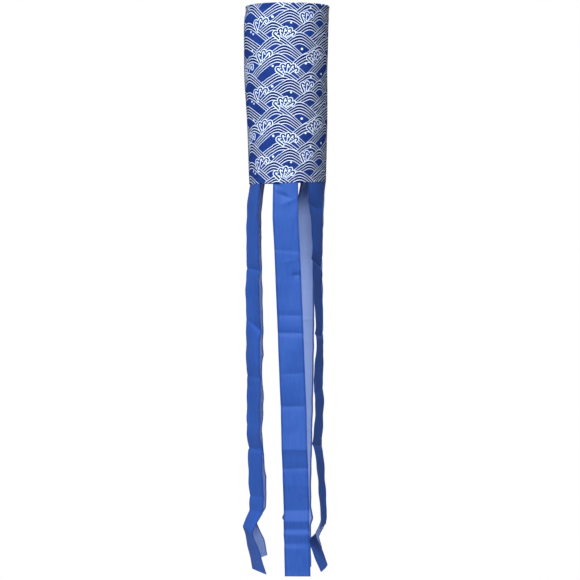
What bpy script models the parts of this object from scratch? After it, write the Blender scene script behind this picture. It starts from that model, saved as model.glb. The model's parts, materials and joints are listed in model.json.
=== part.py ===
"""A windsock streamer: a cloth sleeve held open by a hoop, with seven ribbon tails sewn under its hem.

Frame: metres, +Z up. The origin is the centre of the rim, where the streamer hangs. The front is toward -Y
and +X is to the right, so a ribbon's bearing is measured from the front toward +X.
"""

import math

import bmesh
import bpy
from mathutils import Vector

# Sleeve
RIM_RADIUS = 0.0742  # outside of the casing, at the hoop
CASING_STEP = 0.0012  # the cloth just under the casing stands in from it by this
HEM_RADIUS = 0.0675  # outside of the cloth at its lower edge
SLEEVE_LENGTH = 0.314
CLOTH = 0.0006
CASING_DEPTH = 0.013  # how far the top of the cloth is turned down inside
HEM_DEPTH = 0.010  # how far the bottom of the cloth is turned up inside
SEAM_BEARING = 212.0  # degrees, the lengthwise seam of the sleeve

# Hoop
WIRE = 0.0018  # diameter of the hoop's wire
FERRULE_WALL = 0.00035
FERRULE_LENGTH = 0.014

# Ribbons
RIBBON_WIDTH = 0.045
RIBBON_CLOTH = 0.0006
FLATTEN_DROP = 0.060  # a ribbon is curved like the hem at its top, and flat from here down

# Thread
THREAD = 0.0005  # diameter

# Clearances
GAP = 0.0003  # between neighbouring pieces
SEWN_GAP = 0.0003  # between two layers of the sleeve's own cloth

# Fineness
SIDES = 64  # around the sleeve
WIRE_SIDES = 8
ACROSS = 4  # faces over a ribbon's width
FOLD_STEPS = 6

MM = 0.001

# Each ribbon: bearing in degrees, then its course as (drop, outward, sideways, turn), from its top edge to
# its tip. Drop, outward and sideways are in millimetres, and turn is in degrees about the vertical.
RIBBONS = {
    "front": (-3, [
        (0, 0, 0, 0), (60, 2, 0, 0), (115, 1, 3, 0), (167, 0, 5, 0), (260, 3, 9, 0), (342, 1, 12, 0),
        (390, 0, 14, 0), (464, 4, 16, 0), (495, 0, 17, 0), (527, 1, 18, 0), (570, -8, 19, 0),
        (589, -1, 19, 0),
        (603, -7, 19, 0), (612, -3, 19, 0), (628, -8, 20, 0), (637, -5, 20, 0), (685, -6, 21, 0)]),
    "front_right": (52, [
        (0, 0, 0, 0), (40, -3, 0, 8), (120, 1, 0, 16), (180, 0, 0, 18), (210, 2, 0, 20), (265, 6, 0, 24),
        (342, 2, 0, 16), (377, 5, 0, 19), (457, 1, 0, 18), (487, 6, 0, 21), (544, 11, 0, 22),
        (567, 13, 0, 24),
        (588, 14, 0, 24), (600, 11, 0, 24), (618, -13, 0, 20), (672, 15, 0, 22)]),
    "right": (98, [
        (0, 0, 0, 0), (25, -3, 0, 0), (60, -6, 0, 0), (120, -9, 0, 0), (265, -6, 0, 0), (342, -9, 0, 0),
        (457, -9, 0, 0), (544, -5, 0, 0), (588, -2, 0, 0), (600, -5, 0, 0), (618, -14, 0, 0),
        (670, -2, 0, 0)]),
    "back_right": (140, [
        (0, 0, 0, 0), (25, -9, 0, 2), (50, -15, 1, 4), (120, -20, 3, 6), (237, -19, 3, 8),
        (342, -20, 4, 8), (431, -23, 4, 8), (516, -24, 6, 8), (570, -24, 6, 8), (590, -18, 6, 8),
        (601, -24, 6, 8), (628, -25, 6, 8), (676, -24, 6, 8)]),
    "back": (183, [
        (0, 0, 0, 0), (60, 2, 0, 0), (160, 0, -4, 10), (240, 3, -8, 20), (342, 0, -12, 30),
        (431, 4, -14, 38), (500, 1, -15, 42), (570, 6, -16, 45), (590, 0, -13, 36), (601, 7, -16, 45),
        (616, 2, -16, 45), (628, 7, -16, 45), (674, 5, -16, 45)]),
    "back_left": (238, [
        (0, 0, 0, 0), (44, 2, 0, 0), (88, 3, 0, 0), (262, -2, 0, 0), (338, 1, 0, 0), (380, -3, 0, 0),
        (436, 1, 0, 0), (481, -3, 0, 0), (547, -9, 0, 0), (575, -7, 0, 0), (589, 3, 0, 0), (603, 12, 0, 0),
        (631, -3, 0, 0), (660, -11, 0, 0)]),
    "front_left": (296, [
        (0, 0, 0, 0), (30, 2, 0, 0), (150, 1, 0, 5), (183, 2, 0, 6), (246, 0, 0, 8), (325, 1, 0, 6),
        (353, -1, 0, 6), (440, 1, 0, 5), (464, -3, 0, 8), (574, -6, 0, 8), (589, 3, 0, 0), (605, 11, 0, -5),
        (631, 0, 0, 5), (645, -6, 0, 8), (680, -7, 0, 8)]),
}

PARTS = "windsock_streamer"

# The fold of the casing runs round the hoop and its ferrule.
FERRULE_RADIUS = WIRE / 2 + GAP + FERRULE_WALL
SHOULDER_RADIUS = RIM_RADIUS - CASING_STEP  # outside of the cloth just under the casing
CASING_FOLD = FERRULE_RADIUS + GAP + CLOTH / 2
HOOP_RADIUS = RIM_RADIUS - CLOTH / 2 - CASING_FOLD
HOOP_Z = -(CLOTH / 2 + CASING_FOLD)
HEM_FOLD = (CLOTH + SEWN_GAP) / 2
RIBBON_TOP = -SLEEVE_LENGTH - GAP
HINGE_Z = RIBBON_TOP - RIBBON_CLOTH
RIBBON_RADIUS = HEM_RADIUS - CLOTH / 2 - HEM_FOLD


def clear_scene():
    for old in list(bpy.data.objects):
        bpy.data.objects.remove(old, do_unlink=True)


def collection(name):
    found = bpy.data.collections.get(name) or bpy.data.collections.new(name)
    if name not in bpy.context.scene.collection.children:
        bpy.context.scene.collection.children.link(found)
    return found


def material(name, colour, roughness, metallic=0.0):
    made = bpy.data.materials.new(name)
    made.use_nodes = True
    shader = made.node_tree.nodes["Principled BSDF"]
    shader.inputs["Base Color"].default_value = (*colour, 1.0)
    shader.inputs["Roughness"].default_value = roughness
    shader.inputs["Metallic"].default_value = metallic
    return made


def add(name, data, surface):
    made = bpy.data.objects.new(name, data)
    made.data.materials.append(surface)
    collection(PARTS).objects.link(made)
    return made


def wall_radius(z):
    """Outside radius of the hanging cloth, which narrows evenly from the casing to the hem."""
    share = (-z - CASING_DEPTH) / (SLEEVE_LENGTH - CASING_DEPTH)
    return SHOULDER_RADIUS + (HEM_RADIUS - SHOULDER_RADIUS) * share


def arc(centre, radius, start, end, steps):
    """Points (r, z) on an arc, from the start angle to the end angle in degrees."""
    angles = [math.radians(start + (end - start) * i / steps) for i in range(steps + 1)]
    return [(centre[0] + radius * math.cos(a), centre[1] + radius * math.sin(a)) for a in angles]


def sleeve_profile():
    """The middle of the cloth as (r, z): up the turned-in casing, over the hoop, down the wall, up the hem."""
    middle = CLOTH / 2
    inner = CLOTH + SEWN_GAP
    seam_z = -CASING_DEPTH
    hem_z = -SLEEVE_LENGTH + HEM_FOLD + middle
    shoulder = wall_radius(seam_z) - middle
    hem = wall_radius(-SLEEVE_LENGTH) - middle
    hem_top = -SLEEVE_LENGTH + HEM_DEPTH
    points = [(shoulder - inner, seam_z - 2 * MM), (shoulder - inner, seam_z)]
    points += arc((HOOP_RADIUS, HOOP_Z), CASING_FOLD, 190, -10, 2 * FOLD_STEPS)
    points += [(shoulder, seam_z)]
    points += arc((hem - HEM_FOLD, hem_z), HEM_FOLD, 0, -180, FOLD_STEPS)
    points += [(wall_radius(hem_top) - middle - inner, hem_top)]
    return points


def solidify(made, thickness, offset=0.0):
    shell = made.modifiers.new("Cloth", "SOLIDIFY")
    shell.thickness = thickness
    shell.offset = offset
    shell.use_even_offset = True


def make_sleeve(surface):
    points = [(r, 0.0, z) for r, z in sleeve_profile()]
    outline = bpy.data.meshes.new("sleeve")
    outline.from_pydata(points, [(i, i + 1) for i in range(len(points) - 1)], [])
    sleeve = add("sleeve", outline, surface)
    turn = sleeve.modifiers.new("Turn", "SCREW")
    turn.steps = turn.render_steps = SIDES
    turn.merge_threshold = 0.00001
    turn.use_merge_vertices = True
    turn.use_smooth_shade = True
    solidify(sleeve, CLOTH)


def bearing_point(bearing, radius, z=0.0):
    a = math.radians(bearing)
    return Vector((radius * math.sin(a), -radius * math.cos(a), z))


def tube(name, points, radius, sides, surface, closed=False, caps=True):
    """A round bar along the points."""
    curve = bpy.data.curves.new(name, "CURVE")
    curve.dimensions = "3D"
    curve.bevel_depth = radius
    curve.bevel_resolution = sides // 2 - 2
    curve.use_fill_caps = caps and not closed
    spline = curve.splines.new("POLY")
    spline.points.add(len(points) - 1)
    for point, place in zip(spline.points, points):
        point.co = (*place, 1.0)
    spline.use_cyclic_u = closed
    return add(name, curve, surface)


def ring_points(radius, z, start, end, steps):
    return [bearing_point(start + (end - start) * i / steps, radius, z) for i in range(steps + 1)]


def make_hoop(surface):
    """The wire is bent round once, and its two ends meet inside the ferrule."""
    opening = math.degrees(GAP / HOOP_RADIUS)
    start = SEAM_BEARING + opening
    end = SEAM_BEARING + 360 - opening
    points = ring_points(HOOP_RADIUS, HOOP_Z, start, end, SIDES)
    tube("top_hoop", points, WIRE / 2, WIRE_SIDES, surface)


def make_ferrule(surface):
    """A short sleeve that joins the ends of the hoop, curved like it."""
    half = math.degrees(FERRULE_LENGTH / 2 / HOOP_RADIUS)
    points = ring_points(HOOP_RADIUS, HOOP_Z, SEAM_BEARING - half, SEAM_BEARING + half, 4)
    bar = tube("ferrule_bar", points, FERRULE_RADIUS, WIRE_SIDES, surface, caps=False)
    shape = bpy.data.meshes.new_from_object(bar.evaluated_get(bpy.context.evaluated_depsgraph_get()))
    bpy.data.objects.remove(bar)
    shape.name = "hoop_ferrule"
    shape.materials.clear()
    ferrule = add("hoop_ferrule", shape, surface)
    solidify(ferrule, FERRULE_WALL, offset=-1.0)


def make_ring_stitching(name, z, surface):
    """A row of thread round the outside of the sleeve."""
    radius = wall_radius(z) + GAP + THREAD / 2
    points = ring_points(radius, z, 90, 450, SIDES)[:-1]
    tube(name, points, THREAD / 2, 6, surface, closed=True)


def make_seam_stitching(surface):
    """The row of thread that closes the sleeve into a tube, on the inside of its wall."""
    top = -CASING_DEPTH - 2 * MM - CLOTH
    bottom = -SLEEVE_LENGTH + HEM_DEPTH + CLOTH
    inset = CLOTH + GAP + THREAD
    points = [bearing_point(SEAM_BEARING, wall_radius(z) - inset, z) for z in (top, bottom)]
    tube("back_seam_stitching", points, THREAD / 2, 6, surface)


def course_at(course, drop):
    """Outward, sideways and turn of a ribbon at this drop, in metres and radians."""
    for upper, lower in zip(course, course[1:]):
        if drop <= lower[0]:
            share = (drop - upper[0]) / (lower[0] - upper[0])
            out, side, turn = (a + (b - a) * share for a, b in zip(upper[1:], lower[1:]))
            return out * MM, side * MM, math.radians(turn)
    return course[-1][1] * MM, course[-1][2] * MM, math.radians(course[-1][3])


def ribbon_point(course, across, drop):
    """A point of the ribbon's middle surface: x along its width, -y outward, z from its top edge."""
    out, side, turn = course_at(course, drop / MM)
    u = across * RIBBON_WIDTH
    curl = max(0.0, 1 - drop / FLATTEN_DROP)
    angle = u / RIBBON_RADIUS
    x = u + (RIBBON_RADIUS * math.sin(angle) - u) * curl
    inward = RIBBON_RADIUS * (1 - math.cos(angle)) * curl
    return Vector((
        side + x * math.cos(turn) - inward * math.sin(turn),
        x * math.sin(turn) + inward * math.cos(turn) - out,
        -drop))


def make_ribbon(name, bearing, course, surface):
    hinge = bpy.data.objects.new(name + "_hinge", None)
    hinge.location = bearing_point(bearing, RIBBON_RADIUS, HINGE_Z)
    hinge.rotation_euler = (0.0, 0.0, math.radians(bearing))
    hinge.empty_display_size = RIBBON_WIDTH / 2
    collection(PARTS).objects.link(hinge)

    drops = sorted({drop * MM for drop, *_ in course} | {FLATTEN_DROP / 3, FLATTEN_DROP})
    shape = bpy.data.meshes.new("streamer_" + name)
    grid = bmesh.new()
    bmesh.ops.create_grid(grid, x_segments=ACROSS, y_segments=len(drops) - 1, size=1.0)
    for vert in grid.verts:
        row = round((1 - vert.co.y) / 2 * (len(drops) - 1))
        vert.co = ribbon_point(course, vert.co.x / 2, drops[row])
        vert.co.z += RIBBON_TOP - HINGE_Z
    grid.to_mesh(shape)
    grid.free()
    ribbon = add("streamer_" + name, shape, surface)
    ribbon.parent = hinge
    solidify(ribbon, RIBBON_CLOTH)


def build():
    clear_scene()
    printed = material("printed_cloth", (0.10, 0.18, 0.52), 0.75)
    satin = material("ribbon_cloth", (0.06, 0.13, 0.48), 0.55)
    hoop = material("hoop_plastic", (0.80, 0.80, 0.78), 0.45)
    metal = material("ferrule_metal", (0.60, 0.60, 0.60), 0.35, metallic=1.0)
    thread = material("thread", (0.05, 0.10, 0.40), 0.70)
    make_sleeve(printed)
    make_hoop(hoop)
    make_ferrule(metal)
    make_ring_stitching("casing_stitching", -CASING_DEPTH, thread)
    make_ring_stitching("hem_stitching", -SLEEVE_LENGTH + HEM_DEPTH - 2 * MM, thread)
    make_seam_stitching(thread)
    for name, (bearing, course) in RIBBONS.items():
        make_ribbon(name, bearing, course, satin)


build()
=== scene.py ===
"""The looks of a windsock streamer: a wave-print sleeve on a hoop, with seven satin ribbons under its hem.

Metres, +Z up. The origin is the centre of the rim and the front is toward -Y. A bearing is an angle from
the front toward +X, and a drop is a distance down from where a ribbon leaves the hem.
"""

import json
import math

import bmesh
import bpy
import numpy as np
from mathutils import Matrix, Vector


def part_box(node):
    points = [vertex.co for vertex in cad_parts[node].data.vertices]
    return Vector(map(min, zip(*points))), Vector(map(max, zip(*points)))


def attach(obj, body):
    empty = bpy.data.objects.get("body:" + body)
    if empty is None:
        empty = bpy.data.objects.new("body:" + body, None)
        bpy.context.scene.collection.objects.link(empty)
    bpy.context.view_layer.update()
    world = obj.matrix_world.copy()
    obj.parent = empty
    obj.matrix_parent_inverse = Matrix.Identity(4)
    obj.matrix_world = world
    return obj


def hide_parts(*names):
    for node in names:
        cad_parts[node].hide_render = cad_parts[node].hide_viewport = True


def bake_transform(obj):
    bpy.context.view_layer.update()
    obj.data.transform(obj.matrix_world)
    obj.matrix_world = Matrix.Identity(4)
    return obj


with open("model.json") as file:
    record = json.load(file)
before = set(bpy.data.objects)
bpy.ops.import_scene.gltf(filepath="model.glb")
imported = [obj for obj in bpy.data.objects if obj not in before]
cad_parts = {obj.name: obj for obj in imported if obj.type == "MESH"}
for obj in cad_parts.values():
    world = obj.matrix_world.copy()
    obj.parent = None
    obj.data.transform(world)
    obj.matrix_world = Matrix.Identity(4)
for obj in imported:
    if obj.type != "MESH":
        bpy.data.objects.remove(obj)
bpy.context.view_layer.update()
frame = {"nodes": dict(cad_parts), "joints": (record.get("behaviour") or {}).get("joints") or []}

MM = 0.001

# Sleeve. Its rim and length come from the frame, and the rest are the CAD's sizes or the cloth's own.
SLEEVE_LOW, SLEEVE_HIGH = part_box("sleeve")
RIM_RADIUS = (SLEEVE_HIGH.x - SLEEVE_LOW.x) / 2
SLEEVE_LENGTH = -SLEEVE_LOW.z
SHOULDER_RADIUS = 0.0730  # just under the casing
HEM_RADIUS = 0.0675
CASING_DEPTH = 0.013
HEM_DEPTH = 0.010
HEM_STITCHES = SLEEVE_LENGTH - HEM_DEPTH + 0.002  # how far down the hem's row of stitches is
CASING_FOLD = 0.0021  # radius of the fold over the hoop
SEAM_BEARING = 212.0  # in degrees
SEAM_FLAP = 0.008
SLEEVE_CLOTH = 0.00035
LAYER_GAP = 0.0005  # between a turned-in layer and the wall
AROUND = 300  # columns of the sleeve's mesh
WALL_STEP = 0.003  # from one of its rows to the next

# Ribbons
RIBBON_WIDTH = 0.045
RIBBON_CLOTH = 0.00024
RIBBON_HEM = 0.0030  # width of the rolled edge down each side
RIBBON_END_HEM = 0.0060
RIBBON_TAB = 0.008  # what the sleeve's hem holds
FLATTEN_DROP = 0.060  # where the ribbon has stopped curving with the hem
LOOSE_DROP = 0.060  # where it hangs quite freely
SEWN_DROP = 0.040  # how far down it follows the hem's ripples
RIBBON_ROW = 0.0020
CREASE_ROUNDING = 0.0035
TWIST_ROUNDING = 0.030
DENTS = 10

# The course of each ribbon's middle: drop, how far it hangs outward of its hinge, how far toward a greater
# bearing, and how far it is twisted. In millimetres, and degrees for the twist.
COURSES = {
    "front": [
        (0, 0, 0, 0), (60, 2, 0, 0), (115, 1, 3, 0), (167, 0, 5, 0), (260, 3, 9, 0), (342, 1, 12, 0),
        (390, 0, 14, 0), (464, 4, 16, 0), (495, 0, 17, 0), (527, 1, 18, 0), (570, -8, 19, 0),
        (589, -1, 19, 0), (603, -7, 19, 0), (612, -3, 19, 0), (628, -8, 20, 0), (637, -5, 20, 0),
        (685, -6, 21, 0)
    ],
    "front_right": [
        (0, 0, 0, 0), (40, -3, 0, 8), (120, 1, 0, 16), (180, 0, 0, 18), (210, 2, 0, 20),
        (265, 6, 0, 24), (342, 2, 0, 16), (377, 5, 0, 19), (457, 1, 0, 18), (487, 6, 0, 21),
        (544, 11, 0, 22), (567, 13, 0, 24), (588, 14, 0, 24), (600, 11, 0, 24), (618, -13, 0, 20),
        (672, 15, 0, 22)
    ],
    "right": [
        (0, 0, 0, 0), (25, -3, 0, 0), (60, -6, 0, 0), (120, -9, 0, 0), (265, -6, 0, 0), (342, -9, 0, 0),
        (457, -9, 0, 0), (544, -5, 0, 0), (588, -2, 0, 0), (600, -5, 0, 0), (618, -14, 0, 0),
        (670, -2, 0, 0)
    ],
    "back_right": [
        (0, 0, 0, 0), (25, -9, 0, 2), (50, -15, 1, 4), (120, -20, 3, 6), (237, -19, 3, 8),
        (342, -20, 4, 8), (431, -23, 4, 8), (516, -24, 6, 8), (570, -24, 6, 8), (590, -18, 6, 8),
        (601, -24, 6, 8), (628, -25, 6, 8), (676, -24, 6, 8)
    ],
    "back": [
        (0, 0, 0, 0), (60, 2, 0, 0), (160, 0, -4, 10), (240, 3, -8, 20), (342, 0, -12, 30),
        (431, 4, -14, 38), (500, 1, -15, 42), (582, 2, -15, 44), (592, 0, -10, 28), (601, 7, -16, 45),
        (616, 2, -16, 45), (628, 7, -16, 45), (674, 5, -16, 45)
    ],
    "back_left": [
        (0, 0, 0, 0), (44, 2, 0, 0), (88, 3, 0, 0), (262, -2, 0, 0), (338, 1, 0, 0), (380, -3, 0, 0),
        (436, 1, 0, 0), (481, -3, 0, 0), (547, -9, 0, 0), (575, -7, 0, 0), (589, 3, 0, 0),
        (603, 12, 0, 0), (631, -3, 0, 0), (660, -11, 0, 0)
    ],
    "front_left": [
        (0, 0, 0, 0), (30, 2, 0, 0), (150, 1, 0, 5), (183, 2, 0, 6), (246, 0, 0, 8), (325, 1, 0, 6),
        (353, -1, 0, 6), (440, 1, 0, 5), (464, -3, 0, 8), (574, -6, 0, 8), (589, 3, 0, 0),
        (605, 11, 0, -5), (631, 2, 0, 0), (655, -5, 0, 4), (680, -12, 0, 8)
    ],
}


# Creases: drop of the fold line, how deep it dips, how far it runs above and below the line, middle and
# reach across the ribbon, slope of the line. In millimetres but the slope.
CREASES = {
    "front": [
        (161, 4.6, 4, 7, 16, 9, -0.1), (230, 2.6, 7, 8, 0, 60, 0.03), (261, 4.2, 7, 5, 0, 60, 0.02),
        (331, 1.8, 9, 6, 0, 60, -0.02), (388, 3.4, 8, 9, 0, 60, -0.03), (464, -4.4, 26, 9, 0, 60, 0.0),
        (22, 4.4, 4, 8, -4, 12, 0.45), (10, 3.0, 3, 5, -14, 8, 0.6), (34, -2.6, 8, 5, 8, 12, -0.3),
        (118, 1.6, 14, 4, 0, 60, 0.12), (497, 2.0, 5, 4, 0, 60, -0.05)
    ],
    "front_right": [
        (44, 4.0, 8, 3, -8, 20, 0.5), (140, 5.0, 12, 3, 0, 40, 0.35), (264, 4.4, 12, 4, 0, 60, 0.1),
        (360, 2.0, 10, 8, 0, 60, -0.1), (456, 4.0, 12, 4, 0, 60, 0.1)
    ],
    "front_left": [
        (150, 3.0, 8, 5, 0, 60, 0.1), (249, 5.0, 14, 3, 8, 22, 0.5), (338, 2.6, 12, 8, 0, 60, 0.1),
        (420, 1.8, 10, 8, 0, 60, -0.1), (466, 3.6, 14, 3, 0, 60, 0.1), (548, 2.6, 12, 6, 0, 60, 0.0)
    ],
    "back_left": [
        (96, 1.6, 10, 5, 0, 60, 0.1), (300, 2.0, 10, 5, 0, 60, -0.1), (520, 2.0, 12, 5, 0, 60, 0.1)
    ],
    "back_right": [
        (238, 1.4, 3, 3, 0, 60, 0.05), (431, 1.6, 3, 8, 0, 60, -0.05), (118, 1.0, 9, 6, 0, 60, 0.0)
    ],
    "back": [
        (120, 1.5, 9, 5, 0, 60, 0.1), (262, 2.0, 12, 3, 0, 60, 0.0), (466, 1.8, 3, 12, 0, 60, 0.0)
    ],
    "right": [
        (90, 1.5, 9, 5, 0, 60, 0.1), (262, 2.0, 12, 3, 0, 60, 0.0), (430, 1.8, 3, 12, 0, 60, 0.1)
    ],
}

# The slope at which each ribbon's lower end hangs askew, level where none is given
SKEW = {"front_left": -0.15, "back_left": -0.12, "front_right": 0.20, "right": 0.08, "back": 0.05}

# Thread
STITCH = 0.0030
THREAD = 0.00038
STITCH_START = 0.08  # a gap as a share of the stitch, at both of its ends


# ---------------------------------------------------------------- nodes

class Graph:
    """A material's node tree, with short calls for its maths."""

    def __init__(self, name):
        self.material = bpy.data.materials.new(name)
        self.material.use_nodes = True
        self.tree = self.material.node_tree
        self.tree.nodes.clear()

    def node(self, kind, **settings):
        made = self.tree.nodes.new(kind)
        for key, value in settings.items():
            setattr(made, key, value)
        return made

    def feed(self, socket, value):
        if isinstance(value, bpy.types.NodeSocket):
            self.tree.links.new(value, socket)
        elif value is not None:
            socket.default_value = value

    def math(self, operation, a, b=None, c=None, clamp=False):
        made = self.node("ShaderNodeMath", operation=operation, use_clamp=clamp)
        for socket, value in zip(made.inputs, (a, b, c)):
            self.feed(socket, value)
        return made.outputs[0]

    def mix(self, share, a, b):
        made = self.node("ShaderNodeMix", data_type="FLOAT")
        for socket, value in zip((made.inputs[0], made.inputs[2], made.inputs[3]), (share, a, b)):
            self.feed(socket, value)
        return made.outputs[0]

    def blend(self, share, a, b, how="MIX"):
        """Two colours, mixed."""
        made = self.node("ShaderNodeMix", data_type="RGBA", blend_type=how)
        for socket, value in zip((made.inputs[0], made.inputs[6], made.inputs[7]), (share, a, b)):
            self.feed(socket, value)
        return made.outputs[2]

    def step(self, value, low, high, to_low=0.0, to_high=1.0):
        made = self.node("ShaderNodeMapRange", interpolation_type="SMOOTHSTEP")
        for socket, given in zip(made.inputs, (value, low, high, to_low, to_high)):
            self.feed(socket, given)
        return made.outputs[0]

    def noise(self, place, scale, detail=2.0, stretch=(1.0, 1.0, 1.0)):
        """A soft noise from 0 to 1, in bumps of about 1 / scale metres."""
        mapping = self.node("ShaderNodeMapping")
        mapping.inputs["Scale"].default_value = stretch
        self.feed(mapping.inputs["Vector"], place)
        made = self.node("ShaderNodeTexNoise")
        made.inputs["Scale"].default_value = scale
        made.inputs["Detail"].default_value = detail
        self.feed(made.inputs["Vector"], mapping.outputs[0])
        return made.outputs[0]

    def cloth_place(self):
        """(the whole vector, across, along) in metres of flat cloth."""
        place = self.node("ShaderNodeUVMap", uv_map="cloth").outputs[0]
        parts = self.node("ShaderNodeSeparateXYZ")
        self.feed(parts.inputs[0], place)
        return place, parts.outputs[0], parts.outputs[1]

    def weave(self, across, along, pitch):
        """Threads that cross over and under, from -1 to 1."""
        turns = 2 * math.pi / pitch
        warp = self.math("SINE", self.math("MULTIPLY", across, turns))
        weft = self.math("SINE", self.math("MULTIPLY", along, turns))
        return self.math("MULTIPLY", warp, weft)

    def bump(self, height, distance, strength=1.0, under=None):
        made = self.node("ShaderNodeBump")
        made.inputs["Distance"].default_value = distance
        made.inputs["Strength"].default_value = strength
        self.feed(made.inputs["Height"], height)
        if under is not None:
            self.feed(made.inputs["Normal"], under)
        return made.outputs[0]

    def cloth_shader(self, colour, roughness, normal, through, settings):
        """A Principled cloth that lets a share of the light through."""
        surface = self.node("ShaderNodeBsdfPrincipled")
        for name, value in settings.items():
            surface.inputs[name].default_value = value
        self.feed(surface.inputs["Base Color"], colour)
        self.feed(surface.inputs["Roughness"], roughness)
        self.feed(surface.inputs["Normal"], normal)
        output = self.node("ShaderNodeOutputMaterial")
        if not through:
            self.feed(output.inputs[0], surface.outputs[0])
            return self.material
        glow = self.node("ShaderNodeBsdfTranslucent")
        self.feed(glow.inputs["Color"], colour)
        self.feed(glow.inputs["Normal"], normal)
        both = self.node("ShaderNodeMixShader")
        both.inputs[0].default_value = through
        self.feed(both.inputs[1], surface.outputs[0])
        self.feed(both.inputs[2], glow.outputs[0])
        self.feed(output.inputs[0], both.outputs[0])
        return self.material


# ---------------------------------------------------------------- the wave print

# The print repeats in cells of this size
CELL_WIDTH = 0.194
CELL_HEIGHT = 0.1214
RING = 0.0049  # from one white line of a wave to the next
WHITE_SHARE = 0.25  # of a ring
FOAM_EDGE = 0.0029  # from the middle of a curl's line to the edge of the white round it
CURL_LINE = 0.00140  # half the width of a curl's line
CURL_DIP = 0.15  # how far round a curl's tip comes
FAN_ROOT = 0.019  # how far below its curls a splash's stems would meet
PRINT_WOBBLE = 0.0016  # how far the printed lines wander

# Each wave: across, down, left slope, right slope, roundness of its crest, rings, how far it comes forward
# over the waves beside it. Across and down are the place of its crest in the repeat, counted from the
# sleeve's front and rim. In millimetres but the slopes and rings.
WAVES = [
    (-7.6, 120.7, 0.8, 0.92, 12, 4, 0), (3.8, 13, 0.95, 0.95, 12, 5, 0),
    (42.2, 0.5, 0.92, 0.92, 12, 3, 0), (64.8, 13.7, 0.95, 0.95, 10, 4, 0),
    (40.9, 32.7, 0.92, 0.95, 12, 4, 0), (-24.3, 34.4, 0.92, 0.92, 10, 4, 0),
    (-79.4, 34.1, 0.6, 0.86, 16, 3, 3), (-90.4, 57.5, 0.6, 0.7, 14, 5, 0),
    (-66.9, 92.3, 0.9, 0.8, 12, 3, 0), (-76.5, 0.5, 0.8, 0.92, 12, 4, 0),
    (-17, 90.2, 0.9, 0.92, 12, 4, 3), (-5.6, 74.9, 0.95, 0.95, 12, 4, 0),
    (-18.6, 58.2, 0.92, 0.95, 10, 4, 0), (21.2, 52.9, 0.92, 0.92, 12, 5, 0),
    (36.5, 89.4, 0.92, 0.92, 12, 4, 0), (64, 74.9, 0.9, 0.9, 10, 3, 0),
    (86.9, 88.8, 0.86, 0.8, 12, 4, 3), (91.6, 31.5, 0.8, 0.8, 12, 4, 3),
    (81.4, 50.9, 0.92, 0.92, 9, 4, 0), (100.8, 118.4, 0.7, 0.7, 12, 4, 0),
]

# Each splash of foam: across, down, curls, their spacing, radius of a curl, length of its stem, fall from
# each curl to the next, lean. In millimetres but the curls and the lean.
SPLASHES = [
    (-48.7, 31.5, 3, 10.4, 3.6, 13, -1.4, 0.15), (-41.7, 88, 3, 10.4, 3.6, 13, -1, 0.1),
    (-80, 110.6, 3, 11.2, 3.6, 11.9, -2.1, 0.1), (-3.5, 48, 5, 8.6, 2.7, 11.9, 0.3, 0.25),
    (1, 110.5, 5, 8.8, 2.9, 12, 0.4, 0.1), (34.8, 20.5, 3, 8.9, 2.7, 11.9, -0.7, 0.1),
    (50.4, 88, 5, 8.3, 2.5, 10.7, -1.7, 0),
]

# Each loose drop: across, down, radius, in millimetres.
DROPS = [
    (-25.7, 26.1, 2.1), (6.1, 36.5, 1.7), (24.9, 81.9, 2.1), (-24.9, 111.8, 1.9), (32.2, 106.7, 2.1),
    (-70.8, 50.6, 1.9), (-64.8, 54.6, 1.7), (-67.1, 83.6, 1.9), (69.5, 2.3, 2.1), (2.6, 50.6, 1.6),
    (42.6, 8.9, 1.7),
]


def in_cell(graph, value, middle, width):
    """value less middle, brought within half a repeat of 0."""
    away = graph.math("SUBTRACT", value, middle)
    return graph.math("WRAP", away, width / 2, -width / 2)


def hypot(graph, a, b):
    return graph.math("SQRT", graph.math("MULTIPLY_ADD", a, a, graph.math("MULTIPLY", b, b)))


def wave(graph, across, down, crest, best):
    """Lays one wave over best = (nearness, white, ringed). The wave with the nearest crest above wins.

    depth is how far a place is below the edge of the wave, a hyperbola with two slopes and a rounded crest.
    """
    x, y, left, right, roundness, rings, over = crest
    side = in_cell(graph, across, x * MM, CELL_WIDTH)
    below = graph.math("WRAP", graph.math("SUBTRACT", down, y * MM), CELL_HEIGHT, 0.0)
    flank = graph.math("MAXIMUM", graph.math("MULTIPLY", side, right), graph.math("MULTIPLY", side, -left))
    rounded = graph.math("SQRT", graph.math("MULTIPLY_ADD", flank, flank, (roundness * MM) ** 2))
    depth = graph.math("SUBTRACT", graph.math("ADD", below, roundness * MM), rounded)
    ringed = graph.math("LESS_THAN", depth, (rings - 1 + WHITE_SHARE) * RING)
    line = graph.math("LESS_THAN", graph.math("FRACT", graph.math("DIVIDE", depth, RING)), WHITE_SHARE)
    line = graph.math("MULTIPLY", line, ringed)
    nearness = graph.math("SUBTRACT", below, over * MM)
    wins = graph.math("LESS_THAN", nearness, best[0])
    wins = graph.math("MULTIPLY", wins, graph.math("GREATER_THAN", depth, 0.0))
    return [graph.mix(wins, old, new) for old, new in zip(best, (nearness, line, ringed))]


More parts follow.
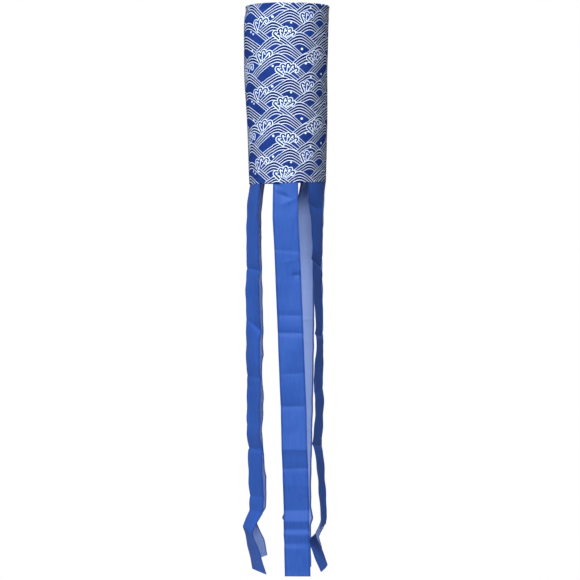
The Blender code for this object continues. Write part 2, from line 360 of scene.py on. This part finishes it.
def splash(graph, across, down, place, white):
    """White foam round a fan of dark curls, each a hook with a stem that runs down to the fan's root."""
    x, y, count, spacing, radius, stem, fall, lean = place
    below = in_cell(graph, down, y * MM, CELL_HEIGHT)
    side = in_cell(graph, across, x * MM, CELL_WIDTH)
    side = graph.math("MULTIPLY_ADD", below, lean, side)
    rise = graph.math("MULTIPLY", below, -1.0)
    height = graph.math("ADD", rise, FAN_ROOT)
    # angle and out are measured from the fan's root, and side and rise from the nearest curl's middle
    angle = graph.math("ARCTAN2", side, height)
    out = hypot(graph, side, height)
    nearest = graph.math("ROUND", graph.math("MULTIPLY", angle, FAN_ROOT / (spacing * MM)))
    last = (count - 1) / 2
    nearest = graph.math("MINIMUM", graph.math("MAXIMUM", nearest, -last), last)
    turned = graph.math("MULTIPLY_ADD", nearest, -spacing * MM / FAN_ROOT, angle)
    side = graph.math("MULTIPLY", turned, out)
    rise = graph.math("MULTIPLY_ADD", nearest, fall * MM, graph.math("SUBTRACT", out, FAN_ROOT))
    hook = graph.math("ABSOLUTE", graph.math("SUBTRACT", hypot(graph, side, rise), radius * MM))
    past = graph.math("MAXIMUM", graph.math("SUBTRACT", graph.math("MULTIPLY", rise, -1.0), stem * MM), 0.0)
    leg = hypot(graph, graph.math("ADD", side, radius * MM), past)
    end = math.atan(CURL_DIP)
    tip = hypot(graph, graph.math("SUBTRACT", side, radius * MM * math.cos(end)),
                graph.math("ADD", rise, radius * MM * math.sin(end)))
    upper = graph.math("GREATER_THAN", graph.math("MULTIPLY_ADD", side, CURL_DIP, rise), 0.0)
    away = graph.mix(upper, graph.math("MINIMUM", leg, tip), hook)
    foam = graph.math("GREATER_THAN", away, CURL_LINE)
    return graph.mix(graph.math("LESS_THAN", away, FOAM_EDGE), white, foam)


def drop(graph, across, down, place, white):
    x, y, radius = place
    side = in_cell(graph, across, x * MM, CELL_WIDTH)
    below = in_cell(graph, down, y * MM, CELL_HEIGHT)
    away = graph.math("MULTIPLY_ADD", side, side, graph.math("MULTIPLY", below, below))
    return graph.math("MAXIMUM", white, graph.math("LESS_THAN", away, (radius * MM) ** 2))


def wave_print(graph, place, across, along):
    """(white lines, ringed part of a wave), each from 0 to 1."""
    wobble = graph.math("MULTIPLY_ADD", graph.noise(place, 90.0, 1.0), PRINT_WOBBLE, -PRINT_WOBBLE / 2)
    across = graph.math("ADD", across, wobble)
    down = graph.math("SUBTRACT", wobble, along)
    best = (CELL_HEIGHT, 0.0, 0.0)
    for crest in WAVES:
        best = wave(graph, across, down, crest, best)
    white = best[1]
    for spot in SPLASHES:
        white = splash(graph, across, down, spot, white)
    for spot in DROPS:
        white = drop(graph, across, down, spot, white)
    return white, best[2]


# ---------------------------------------------------------------- materials

PRINT_BLUE = (0.008, 0.028, 0.165, 1.0)
PRINT_BLUE_WORN = (0.013, 0.042, 0.235, 1.0)
PRINT_NAVY = (0.003, 0.009, 0.080, 1.0)
PRINT_WHITE = (0.66, 0.79, 0.98, 1.0)
BARE_CLOTH = (0.60, 0.66, 0.80, 1.0)
SATIN_BLUE = (0.030, 0.102, 0.430, 1.0)
SATIN_SHADE = (0.020, 0.070, 0.340, 1.0)
SATIN_LIGHT = (0.050, 0.150, 0.520, 1.0)
SATIN_THREAD = (0.010, 0.026, 0.160, 1.0)
SATIN_BACK_PAINTED_SHEEN = (0.37, 0.50, 0.86, 1.0)  # painted sheen: the reverse is painted paler for its shine and the light that comes through it
SATIN_TINT = (0.65, 0.80, 1.0, 1.0)  # of its shine
THREAD_BLUE = (0.030, 0.070, 0.330, 1.0)
THREAD_PALE = (0.060, 0.120, 0.460, 1.0)
HOOP_WHITE = (0.80, 0.80, 0.78)
FERRULE_GREY = (0.60, 0.60, 0.60)
FLOOR_DARK = (0.80, 0.80, 0.80, 1.0)
FLOOR_PALE = (0.84, 0.84, 0.84, 1.0)
WHITE = (1.0, 1.0, 1.0, 1.0)

SLEEVE_WEAVE = 0.0007  # two threads of the weave
SATIN_WEAVE = 0.0005
EDGE_STITCH = 0.0026  # a ribbon's edge stitch and the gap after it


def printed_cloth(name, ink_through):
    """Woven polyester with the print on it. ink_through is how much of the print shows on this side."""
    graph = Graph(name)
    place, across, along = graph.cloth_place()
    white, ringed = wave_print(graph, place, across, along)
    uneven = graph.noise(place, 45.0, 4.0)
    blue = graph.blend(graph.step(uneven, 0.3, 0.7), PRINT_BLUE, PRINT_BLUE_WORN)
    blue = graph.blend(graph.math("MULTIPLY", ringed, 0.75), blue, PRINT_NAVY)
    colour = graph.blend(white, blue, PRINT_WHITE)
    if ink_through < 1:
        colour = graph.blend(ink_through, BARE_CLOTH, colour)
    weave = graph.weave(across, along, SLEEVE_WEAVE)
    shade = graph.math("MULTIPLY_ADD", weave, 0.035, 1.0)
    colour = graph.blend(1.0, colour, shade, "MULTIPLY")
    roughness = graph.math("MULTIPLY_ADD", uneven, 0.12, 0.66)
    normal = graph.bump(weave, 0.00006)
    normal = graph.bump(graph.noise(place, 60.0, 3.0, (1.0, 0.6, 1.0)), 0.0006, 0.5, normal)
    return graph.cloth_shader(colour, roughness, normal, 0.10, {"Specular IOR Level": 0.08})


def satin(name, painted_sheen):
    """Ribbon cloth: fine streaks along its length, rolled edges sewn down with painted shade along them,
    and a soft shine.

    The second argument is how much painted sheen shows on this side: the reverse is painted paler for its
    shine and the light through it.
    """
    graph = Graph(name)
    place, across, along = graph.cloth_place()
    streaks = graph.noise(place, 900.0, 3.0, (1.0, 0.03, 1.0))
    clouds = graph.noise(place, 22.0, 3.0)
    colour = graph.blend(graph.step(streaks, 0.30, 0.70), SATIN_SHADE, SATIN_BLUE)
    colour = graph.blend(graph.math("MULTIPLY", clouds, 0.5), colour, SATIN_LIGHT)
    # painted sheen and glow: the reverse is painted paler, standing in for its shine and the light through
    # the cloth
    colour = graph.blend(graph.math("MULTIPLY_ADD", clouds, 0.2 * painted_sheen, 0.9 * painted_sheen), colour, SATIN_BACK_PAINTED_SHEEN)
    from_edge = graph.math("SUBTRACT", RIBBON_WIDTH / 2, graph.math("ABSOLUTE", across))
    # painted shade: the rolled edges are painted darker, as the shade along them
    hem = graph.step(from_edge, RIBBON_HEM + 0.0002, RIBBON_HEM - 0.0002)
    colour = graph.blend(graph.math("MULTIPLY", hem, 0.8), colour, SATIN_SHADE)
    line = graph.math("ABSOLUTE", graph.math("SUBTRACT", from_edge, RIBBON_HEM - 0.0006))
    line = graph.math("LESS_THAN", line, 0.00016)
    dash = graph.math("LESS_THAN", graph.math("FRACT", graph.math("DIVIDE", along, EDGE_STITCH)), 0.72)
    thread = graph.math("MULTIPLY", line, dash)
    colour = graph.blend(graph.math("MULTIPLY", thread, 0.6), colour, SATIN_THREAD)
    roughness = graph.math("MULTIPLY_ADD", streaks, 0.16, 0.34)
    weave = graph.weave(across, along, SATIN_WEAVE)
    normal = graph.bump(weave, 0.00003)
    normal = graph.bump(streaks, 0.00008, 0.6, normal)
    normal = graph.bump(graph.noise(place, 40.0, 4.0, (1.0, 0.5, 1.0)), 0.0008, 0.5, normal)
    normal = graph.bump(thread, 0.00015, 1.0, normal)
    shine = {"Specular IOR Level": 0.22, "Specular Tint": SATIN_TINT}
    return graph.cloth_shader(colour, roughness, normal, 0.26, shine)


def thread_material():
    graph = Graph("sewing_thread")
    place = graph.node("ShaderNodeTexCoord").outputs["Object"]
    twist = graph.noise(place, 2600.0, 1.0)
    colour = graph.blend(twist, THREAD_BLUE, THREAD_PALE)
    return graph.cloth_shader(colour, 0.60, graph.bump(twist, 0.00005), 0.0, {"Sheen Weight": 0.15})


def hoop_material(name, colour, roughness, metallic):
    """A hard, slightly scuffed surface for the hoop and its ferrule."""
    graph = Graph(name)
    place = graph.node("ShaderNodeTexCoord").outputs["Object"]
    scuffs = graph.noise(place, 400.0, 3.0)
    worn = (*[0.8 * channel for channel in colour], 1.0)
    shade = graph.blend(graph.step(scuffs, 0.35, 0.75), (*colour, 1.0), worn)
    rough = graph.math("MULTIPLY_ADD", scuffs, 0.2, roughness)
    return graph.cloth_shader(shade, rough, graph.bump(scuffs, 0.00005), 0.0, {"Metallic": metallic})


# ---------------------------------------------------------------- meshes

def bearing_of(position):
    return math.atan2(position[0], -position[1])


def on_bearing(bearing, radius, z):
    return Vector((radius * math.sin(bearing), -radius * math.cos(bearing), z))


def show(name, mesh, *materials):
    """The mesh as an object in the scene."""
    made = bpy.data.objects.new(name, mesh)
    for surface in materials:
        mesh.materials.append(surface)
    bpy.context.scene.collection.objects.link(made)
    return made


def grid_mesh(name, points, flat, closed=False):
    """A mesh from rows of points, with a UV map of where each lies on the flat cloth, in metres.

    points and flat are arrays of rows x columns. A closed grid's last column meets its first.
    """
    rows, columns = points.shape[:2]
    mesh = bpy.data.meshes.new(name)
    verts = [tuple(p) for p in points[:, :columns - closed].reshape(-1, 3)]
    width = columns - closed
    faces = []
    corners = []
    for r in range(rows - 1):
        for c in range(columns - 1):
            ring = [(r, c), (r + 1, c), (r + 1, c + 1), (r, c + 1)]
            faces.append([a * width + b % width for a, b in ring])
            corners += [flat[a, b] for a, b in ring]
    mesh.from_pydata(verts, [], faces)
    layer = mesh.uv_layers.new(name="cloth")
    layer.data.foreach_set("uv", np.array(corners, np.float32).ravel())
    mesh.shade_smooth()
    return mesh


def with_thickness(made, thickness, inner_slot=0, weights=None):
    """The object's cloth given its thickness, as a plain mesh. Where a weight is 0 it is half as thick."""
    shell = made.modifiers.new("Cloth", "SOLIDIFY")
    shell.thickness = thickness
    shell.offset = 0.0
    shell.material_offset = inner_slot
    if weights is not None:
        group = made.vertex_groups.new(name="hem")
        for index, weight in enumerate(weights):
            group.add([index], float(weight), "REPLACE")
        shell.vertex_group = "hem"
        shell.thickness_vertex_group = 0.5
    finished = bpy.data.meshes.new_from_object(made.evaluated_get(bpy.context.evaluated_depsgraph_get()))
    made.modifiers.clear()
    made.vertex_groups.clear()
    old = made.data
    made.data = finished
    bpy.data.meshes.remove(old)
    return made


def ripples(seed, bearings, z, count, longest):
    """Smooth waves round and down the sleeve, summed, from about -1 to 1. Each joins up with itself."""
    draw = np.random.default_rng(seed)
    total = np.zeros(np.broadcast(bearings, z).shape)
    for _ in range(count):
        turns = draw.integers(1, longest + 1)
        pitch = draw.uniform(0.10, 0.5)
        height = draw.uniform(0.4, 1.0)
        total += height * np.sin(turns * bearings + 2 * math.pi * z / pitch + draw.uniform(0, 2 * math.pi))
    return total / math.sqrt(count)


# ---------------------------------------------------------------- sleeve

def ramp(value, start, over):
    """0 as far as start, then a straight rise to 1 over the distance given."""
    return np.clip((value - start) / over, 0, 1)


def near(value, middle, width):
    """1 at middle, fading to 0 on both sides."""
    return np.exp(-(((value - middle) / width) ** 2))


def wall_radius(z):
    """The plain tube's outside radius, under the casing."""
    share = (-z - CASING_DEPTH) / (SLEEVE_LENGTH - CASING_DEPTH)
    return SHOULDER_RADIUS + (HEM_RADIUS - SHOULDER_RADIUS) * share


def rounded_course(places, where, values, width):
    """The value at each place of a course given at a few, with its corners rounded over a width."""
    offsets = np.linspace(-width / 2, width / 2, 7)
    return np.mean([np.interp(places + o, where, values) for o in offsets], axis=0)


def shape_between(pairs, depth):
    """A value that runs smoothly through (depth, value) pairs."""
    depths, values = zip(*pairs)
    return rounded_course(depth, depths, values, 0.030)


# How far the hung sleeve bulges, and how far it leans toward +X: (metres below the rim, millimetres)
BULGE = [(0.002, 0.0), (0.022, 2.0), (0.09, 2.6), (0.137, 2.6), (0.19, 1.5), (0.264, 0.8), (0.314, 0.0)]
LEAN = [(0.002, 0.0), (0.028, -2.4), (0.12, -3.2), (0.19, -1.5), (0.264, -0.2), (0.314, 0.0)]

RIPPLE = 0.00075  # soft ripples over the whole sleeve
HEM_WAVES = 0.0011  # five waves round its lower half
ROW_DIP = 0.00030  # how far a row of stitches draws the cloth in
ROW_WIDTH = 0.006
CASING_PUCKER = 0.00022
HEM_PUCKER = 0.00026
SEAM_DIP = 0.00055
SEAM_WIDTH = 0.0011


def arc(centre, radius, start, end, steps):
    angles = [math.radians(start + (end - start) * i / steps) for i in range(steps + 1)]
    return [(centre[0] + radius * math.cos(a), centre[1] + radius * math.sin(a)) for a in angles]


def sleeve_profile():
    """The cloth's middle as (r, z), from the casing's turned-in edge over the hoop and down to the hem."""
    middle = SLEEVE_CLOTH / 2
    layer = SLEEVE_CLOTH + LAYER_GAP
    hoop = (RIM_RADIUS - CASING_FOLD - middle, -CASING_FOLD - middle)
    shoulder = SHOULDER_RADIUS - middle
    points = [(shoulder - layer, -CASING_DEPTH - 2 * MM), (shoulder - layer, -CASING_DEPTH + MM)]
    points += [(shoulder - layer - 0.0006, -0.009), (shoulder - layer - 0.0018, -0.006)]
    points += arc(hoop, CASING_FOLD, 185, -10, 18)
    points += [(shoulder + 0.0007, -0.006), (shoulder + 0.0003, -0.009), (shoulder, -CASING_DEPTH)]
    count = round((SLEEVE_LENGTH - CASING_DEPTH) / WALL_STEP)
    bottom = -SLEEVE_LENGTH + layer / 2 + middle
    for i in range(1, count):
        z = -CASING_DEPTH + (bottom + CASING_DEPTH) * i / count
        points.append((wall_radius(z) - middle, z))
    hem = wall_radius(bottom) - middle
    points += arc((hem - layer / 2, bottom), layer / 2, 0, -180, 8)
    turned_up = np.linspace(bottom + 0.002, bottom + HEM_DEPTH, 4)
    points += [(wall_radius(z) - middle - layer, z) for z in turned_up]
    return np.array(points)


def sleeve_offsets(bearings, r, z):
    """How far the hung cloth stands out from the plain tube, and how far its hem rises."""
    down = -z
    out = RIPPLE * ramp(down, 0.02, 0.10) * ripples(3, bearings, z, 9, 7)
    out += HEM_WAVES * ramp(down, 0.12, 0.19) * np.sin(5 * bearings + 0.7 + 6 * z)
    casing = near(down, CASING_DEPTH, ROW_WIDTH)
    hem = near(down, HEM_STITCHES, ROW_WIDTH)
    out -= ROW_DIP * (casing + hem)
    puckers = np.sin(71 * bearings + 2.0 * np.sin(5 * bearings)) * (0.6 + 0.4 * np.sin(13 * bearings + 1))
    out += CASING_PUCKER * casing * puckers + HEM_PUCKER * hem * np.roll(puckers, 5, axis=-1)
    from_seam = (np.degrees(bearings) - SEAM_BEARING + 180) % 360 - 180
    out -= SEAM_DIP * near(np.radians(from_seam) * r, 0.0, SEAM_WIDTH) * ramp(down, 0.004, 0.008)
    leaning = shape_between(BULGE, down) + shape_between(LEAN, down) * np.sin(bearings)
    out += MM * ramp(down, 0.004, 0.014) * leaning
    rise = 0.0022 * np.sin(bearings) + 0.0016 * (1 - np.cos(bearings)) + 0.0005 * np.sin(7 * bearings)
    return out, ramp(down, 0.20, 0.114) ** 2 * rise


def make_sleeve(outside, inside):
    """The sleeve, and the length its cloth is cut to."""
    profile = sleeve_profile()
    steps = np.hypot(*np.diff(profile, axis=0).T)
    length = np.concatenate(([0], np.cumsum(steps)))
    top = length[np.argmax(profile[:, 1])]
    start = math.radians(SEAM_BEARING) - 2 * math.pi
    bearings = start + 2 * math.pi * np.arange(AROUND + 1) / AROUND
    r, z = profile[:, 0, None], profile[:, 1, None]
    out, rise = sleeve_offsets(bearings[None, :], r, z)
    radius = r + out
    points = np.stack([radius * np.sin(bearings), -radius * np.cos(bearings), z + rise], axis=-1)
    flat = np.stack(np.broadcast_arrays(bearings[None, :] * r, (top - length)[:, None]), axis=-1)
    mesh = grid_mesh("sleeve_cloth", points, flat, closed=True)
    sleeve = show("sleeve_cloth", mesh, outside, inside)
    with_thickness(sleeve, SLEEVE_CLOTH, inner_slot=1)
    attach(sleeve, "sleeve")
    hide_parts("sleeve")
    return sleeve, length[-1]


def wall_point(bearing, z, out=0.0):
    """A point on the outside of the hung cloth, so that stitches and the seam lie on it."""
    b = np.array([[bearing]])
    offset, rise = sleeve_offsets(b, np.array([[wall_radius(z)]]), np.array([[z]]))
    return on_bearing(bearing, wall_radius(z) + float(offset[0, 0]) + out, z + float(rise[0, 0]))


def stitch_row(name, path, node, surface, sink=0.35):
    """Separate stitches laid end to end along a path of (point, outward) pairs, each bowed outward.

    sink is how far a stitch's ends lie under the path, as a share of the thread.
    """
    shape = bmesh.new()
    sides = 6
    for (a, out_a), (b, out_b) in zip(path, path[1:]):
        along = b - a
        outward = (out_a + out_b).normalized()
        cross = along.normalized().cross(outward)
        rings = []
        for t in (STITCH_START, 0.25, 0.5, 0.75, 1 - STITCH_START):
            bow = math.sin(math.pi * (t - STITCH_START) / (1 - 2 * STITCH_START))
            thick = THREAD / 2 * (0.45 + 0.55 * bow)
            centre = a + along * t + outward * (THREAD * (0.5 * bow - sink))
            rings.append([shape.verts.new(centre + thick * (math.cos(q) * cross + math.sin(q) * outward))
                          for q in (2 * math.pi * s / sides for s in range(sides))])
        for one, two in zip(rings, rings[1:]):
            for s in range(sides):
                shape.faces.new((one[s], one[(s + 1) % sides], two[(s + 1) % sides], two[s]))
        shape.faces.new(rings[0][::-1])
        shape.faces.new(rings[-1])
    bmesh.ops.recalc_face_normals(shape, faces=shape.faces)
    mesh = bpy.data.meshes.new(name)
    shape.to_mesh(mesh)
    shape.free()
    mesh.shade_smooth()
    made = show(name, mesh, surface)
    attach(made, "sleeve")
    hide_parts(node)
    return made


def ring_of_stitches(name, z, node, surface):
    """A row of stitches round the outside of the sleeve."""
    count = round(2 * math.pi * wall_radius(z) / STITCH)
    path = []
    for i in range(count + 1):
        bearing = 2 * math.pi * i / count
        path.append((wall_point(bearing, z), on_bearing(bearing, 1.0, 0.0)))
    return stitch_row(name, path, node, surface)


def seam_inside(z):
    return wall_point(math.radians(SEAM_BEARING), z, out=-SLEEVE_CLOTH - 0.0002)


def make_seam(cloth, surface):
    """The seam's allowance, pressed to one side inside the sleeve, and the stitches that hold it."""
    inward = -on_bearing(math.radians(SEAM_BEARING), 1.0, 0.0)
    top, bottom = -CASING_DEPTH - 0.003, -SLEEVE_LENGTH + HEM_DEPTH + 0.001
    count = round((top - bottom) / STITCH)
    levels = [top + (bottom - top) * i / count for i in range(count + 1)]
    stitches = stitch_row("back_seam_stitches", [(seam_inside(z), inward) for z in levels],
                          "back_seam_stitching", surface, sink=-0.3)
    across = np.linspace(0, SEAM_FLAP, 7)
    points = []
    flat = []
    for z in levels:
        row = []
        for u in across:
            bearing = math.radians(SEAM_BEARING) + u / wall_radius(z)
            share = u / SEAM_FLAP
            lift = 0.0003 + 0.0009 * math.sin(math.pi * share * 0.8) + 0.0004 * math.sin(z * 190) * share
            row.append(wall_point(bearing, z, out=-SLEEVE_CLOTH - lift))
        points.append(row)
        flat.append([(u, z) for u in across])
    mesh = grid_mesh("seam_allowance", np.array(points), np.array(flat))
    flap = show("seam_allowance", mesh, cloth)
    with_thickness(flap, SLEEVE_CLOTH)
    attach(flap, "sleeve")
    return flap, stitches


# ---------------------------------------------------------------- ribbons

def smoothed(course, column, drops, width):
    """One column of a course at each drop, with its creases rounded over a width."""
    heights = np.array([row[0] for row in course]) * MM
    values = np.array([row[column] for row in course], float)
    return rounded_course(drops, heights, values, width)


def ribbon_columns():
    """Places across a ribbon, close together where its rolled edges are."""
    half = RIBBON_WIDTH / 2
    inner = np.linspace(-half + RIBBON_HEM + 0.0005, half - RIBBON_HEM - 0.0005, 13)
    edge = [half, half - 0.0004, half - RIBBON_HEM + 0.0003, half - RIBBON_HEM]
    return np.concatenate(([-e for e in edge], inner, edge[::-1]))


def ribbon_drops(length):
    """Drops of a ribbon's rows, close together where its end is turned up and sewn."""
    even = np.arange(-RIBBON_TAB, length - 0.007, RIBBON_ROW)
    fold = [RIBBON_END_HEM + 0.0006, RIBBON_END_HEM + 0.0002, RIBBON_END_HEM - 0.0002]
    return np.concatenate((even, length - np.array([*fold, RIBBON_END_HEM / 2, 0.0004, 0.0])))


def swell(d, pitch, phase=0.0):
    """A wave down a ribbon."""
    return np.sin(d * 2 * math.pi / pitch + phase)


def creases(name, u, d):
    """How far a ribbon's creases push each place of it inward."""
    inward = 0.0
    for line, deep, above, below, middle, reach, slope in CREASES[name]:
        past = d - line * MM - slope * u
        dip = np.exp(-np.where(past < 0, -past / (above * MM), past / (below * MM)))
        inward = inward + deep * MM * dip * near(u, middle * MM, reach * MM)
    return inward


def dents(draw, u, d, length):
    """How far shallow dents at random places push each place of a ribbon inward."""
    inward = 0.0
    for _ in range(DENTS):
        middle_u, middle_d = draw.uniform(-0.018, 0.018), draw.uniform(0.03, length - 0.02)
        wide, tall = draw.uniform(0.008, 0.018), draw.uniform(0.003, 0.010)
        slope = draw.uniform(-0.35, 0.35)
        dent = near(u, middle_u, wide) * near(d + slope * (u - middle_u), middle_d, tall)
        inward = inward + draw.uniform(-0.0009, 0.0009) * dent
    return inward


def ribbon_section(name, u, d, length, hinge_radius):
    """(across, inward) of each place of a ribbon, before it is laid along its course."""
    draw = np.random.default_rng(sum(map(ord, name)))
    curl = np.clip(1 - d / FLATTEN_DROP, 0, 1) ** 1.5
    angle = u / hinge_radius
    across = u + (hinge_radius * np.sin(angle) - u) * curl
    inward = hinge_radius * (1 - np.cos(angle)) * curl
    loose = ramp(d, 0.0, LOOSE_DROP)
    from_middle = 2 * u / RIBBON_WIDTH
    bow = 0.0016 * swell(d, 0.31, draw.uniform(0, 6)) + 0.0012 * swell(d, 0.17)
    inward = inward + loose * bow * (1 - from_middle ** 2)
    inward = inward + creases(name, u, d)
    inward = inward + dents(draw, u, d, length)
    flutter = 0.0007 * swell(d, 0.045, draw.uniform(0, 6)) * np.abs(from_middle) ** 3
    return across, inward + loose * flutter * np.sign(u) * swell(d, 0.23)


def ribbon_points(name, bearing, hinge_radius, hinge_z, columns, drops):
    """Where each place of a hanging ribbon is, as rows of points."""
    course = COURSES[name]
    u = columns[None, :]
    d = drops[:, None]
    across, inward = ribbon_section(name, u, d, course[-1][0] * MM, hinge_radius)
    bearings = bearing + u / hinge_radius
    hem_out, hem_rise = sleeve_offsets(bearings, np.array([[HEM_RADIUS]]), np.array([[-SLEEVE_LENGTH]]))
    inward = inward - hem_out * np.clip(1 - d / SEWN_DROP, 0, 1) ** 2
    out = smoothed(course, 1, d, CREASE_ROUNDING) * MM
    side = smoothed(course, 2, d, CREASE_ROUNDING) * MM
    turn = np.radians(smoothed(course, 3, d, TWIST_ROUNDING))
    local_x = side + across * np.cos(turn) - inward * np.sin(turn)
    local_y = across * np.sin(turn) + inward * np.cos(turn) - out
    hinge = on_bearing(bearing, hinge_radius, hinge_z)
    world_x = hinge.x + local_x * math.cos(bearing) - local_y * math.sin(bearing)
    world_y = hinge.y + local_x * math.sin(bearing) + local_y * math.cos(bearing)
    askew = SKEW.get(name, 0.0) * ramp(d, 0.55, 0.06)
    world_z = hinge_z - d + askew * u + hem_rise * np.clip(1 - d / 0.15, 0, 1)
    return np.stack([world_x, world_y, world_z], axis=-1)


def make_ribbon(name, joint, outside, inside):
    """One ribbon, hung from its joint's place under the hem."""
    bearing = bearing_of(joint["pos_m"])
    hinge_z = joint["pos_m"][2]
    hinge_radius = math.hypot(*joint["pos_m"][:2])
    length = COURSES[name][-1][0] * MM
    columns, drops = ribbon_columns(), ribbon_drops(length)
    points = ribbon_points(name, bearing, hinge_radius, hinge_z, columns, drops)
    middle = points[:, len(columns) // 2]
    along = np.concatenate(([0], np.cumsum(np.linalg.norm(np.diff(middle, axis=0), axis=1))))
    u, d = np.broadcast_arrays(columns[None, :], drops[:, None])
    flat = np.stack([u, np.broadcast_to(along[:, None], u.shape)], axis=-1)
    mesh = grid_mesh("ribbon_" + name, points, flat)
    ribbon = show("ribbon_" + name, mesh, outside, inside)
    rolled = (RIBBON_WIDTH / 2 - np.abs(u) < RIBBON_HEM - 0.0001) | (length - d < RIBBON_END_HEM)
    with_thickness(ribbon, 2 * RIBBON_CLOTH, inner_slot=1, weights=rolled.astype(float).ravel())
    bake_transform(ribbon)
    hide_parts("streamer_" + name)


# ---------------------------------------------------------------- stage

CAMERA_DISTANCE = 5.4
CAMERA_PLACE = (0.0044, -CAMERA_DISTANCE, -0.5007)  # level with the middle of the whole streamer
VIEW_WIDTH = 1.0225  # what the picture spans at the object
SENSOR = 36.0  # in millimetres
FLOOR_Z = -1.45
FLOOR_RADIUS = 1.35
WORLD_STRENGTH = 0.23
LIT_MIDDLE = (0.0, 0.0, -0.15)  # where the lights point


def area_light(name, place, size, power):
    """A white rectangle of light, in watts, that faces the middle of the sleeve."""
    lamp = bpy.data.lights.new(name, "AREA")
    lamp.shape = "RECTANGLE"
    lamp.size, lamp.size_y = size
    lamp.energy = power
    made = bpy.data.objects.new(name, lamp)
    made.location = place
    made.rotation_euler = (Vector(LIT_MIDDLE) - Vector(place)).to_track_quat("-Z", "Y").to_euler()
    bpy.context.scene.collection.objects.link(made)


def make_world():
    """A world that the camera sees as white paper, while it lights the cloth less."""
    world = bpy.data.worlds.new("studio")
    world.use_nodes = True
    nodes, links = world.node_tree.nodes, world.node_tree.links
    light = nodes["Background"]
    light.inputs[0].default_value = WHITE
    light.inputs[1].default_value = WORLD_STRENGTH
    backdrop = nodes.new("ShaderNodeBackground")
    backdrop.inputs[0].default_value = WHITE
    both = nodes.new("ShaderNodeMixShader")
    links.new(nodes.new("ShaderNodeLightPath").outputs["Is Camera Ray"], both.inputs[0])
    links.new(light.outputs[0], both.inputs[1])
    links.new(backdrop.outputs[0], both.inputs[2])
    links.new(both.outputs[0], nodes["World Output"].inputs[0])
    bpy.context.scene.world = world
    bpy.context.scene.view_settings.view_transform = "Standard"


def make_floor():
    graph = Graph("floor")
    place = graph.node("ShaderNodeTexCoord").outputs["Object"]
    grain = graph.noise(place, 6.0, 2.0)
    colour = graph.blend(grain, FLOOR_DARK, FLOOR_PALE)
    surface = graph.cloth_shader(colour, 0.85, graph.bump(grain, 0.001), 0.0, {})
    shape = bmesh.new()
    bmesh.ops.create_circle(shape, cap_ends=True, segments=96, radius=FLOOR_RADIUS)
    mesh = bpy.data.meshes.new("floor")
    shape.to_mesh(mesh)
    shape.free()
    floor = show("floor", mesh, surface)
    floor.location.z = FLOOR_Z


def make_lights():
    area_light("key", (-0.35, -2.4, 2.75), (1.4, 1.2), 190)
    area_light("front_left_fill", (-2.3, -3.6, 0.9), (1.4, 1.4), 105)
    area_light("front_fill", (0.0, -4.7, 0.8), (1.6, 1.4), 42)
    area_light("back", (0.6, 3.9, 1.1), (1.6, 1.6), 85)


def make_camera():
    """A level camera in front, from far off, so that the sleeve's rim is nearly a line."""
    data = bpy.data.cameras.new("camera")
    data.sensor_width = SENSOR
    data.lens = SENSOR * CAMERA_DISTANCE / VIEW_WIDTH
    camera = bpy.data.objects.new("camera", data)
    camera.location = CAMERA_PLACE
    camera.rotation_euler = (math.radians(90), 0, 0)
    bpy.context.scene.collection.objects.link(camera)
    bpy.context.scene.camera = camera


def set_material(node, surface):
    made = frame["nodes"][node]
    for slot in made.material_slots:
        slot.material = surface


def build():
    make_camera()
    make_world()
    make_floor()
    make_lights()
    outside = printed_cloth("printed_cloth_outside", 1.0)
    inside = printed_cloth("printed_cloth_inside", 0.35)
    thread = thread_material()
    sleeve, cut_length = make_sleeve(outside, inside)
    casing = ring_of_stitches("casing_stitches", -CASING_DEPTH, "casing_stitching", thread)
    hem = ring_of_stitches("hem_stitches", -HEM_STITCHES, "hem_stitching", thread)
    flap, seam = make_seam(inside, thread)
    face, reverse = satin("ribbon_face", 0.0), satin("ribbon_reverse_painted_sheen", 1.0)
    for joint in frame["joints"]:
        make_ribbon(joint["name"].removesuffix("_swing"), joint, face, reverse)
    set_material("top_hoop", hoop_material("hoop_plastic", HOOP_WHITE, 0.35, 0.0))
    set_material("hoop_ferrule", hoop_material("ferrule_metal", FERRULE_GREY, 0.25, 1.0))


build()
